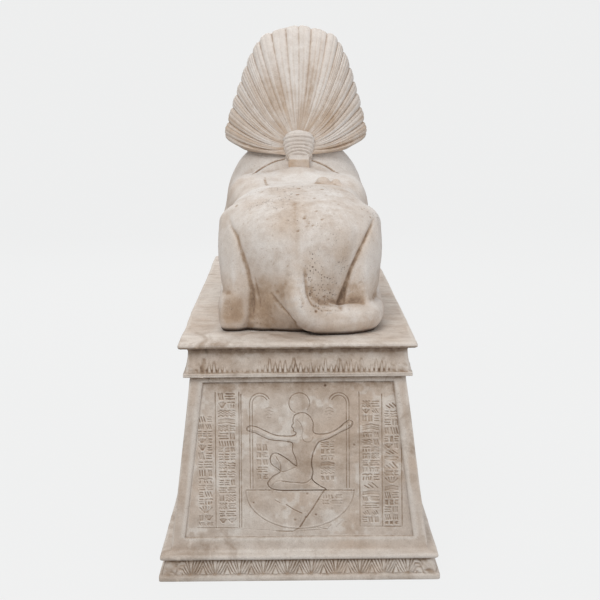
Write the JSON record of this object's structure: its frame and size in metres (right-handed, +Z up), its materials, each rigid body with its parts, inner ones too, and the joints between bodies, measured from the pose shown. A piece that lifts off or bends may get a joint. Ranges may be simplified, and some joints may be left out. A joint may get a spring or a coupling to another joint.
{
  "type": "sphinx statue on plinth",
  "caption": "Couchant sphinx with pleated head cloth and plait, tail round the haunch, on a battered plinth with framed relief panels, leaf friezes and a projecting top slab.",
  "frame": {"origin": "middle of the plinth's underside", "axes": "+Z up; +Y towards the rump, so the sphinx looks along -Y; +X is the sphinx's left"},
  "size_m": [0.5952, 1.2952, 1.1807],
  "materials": {
    "figure_stone": "pale warm cast stone, chalky white where rain washes it, brown-beige in the hollows, small open pits, matt",
    "plinth_stone": "the same stone, greyer and more stained, brown blotches and lime bloom on the carved bands, matt"
  },
  "bodies": {
    "root": {"sphinx_figure": "figure_stone", "plinth": "plinth_stone"}
  },
  "joints": []
}
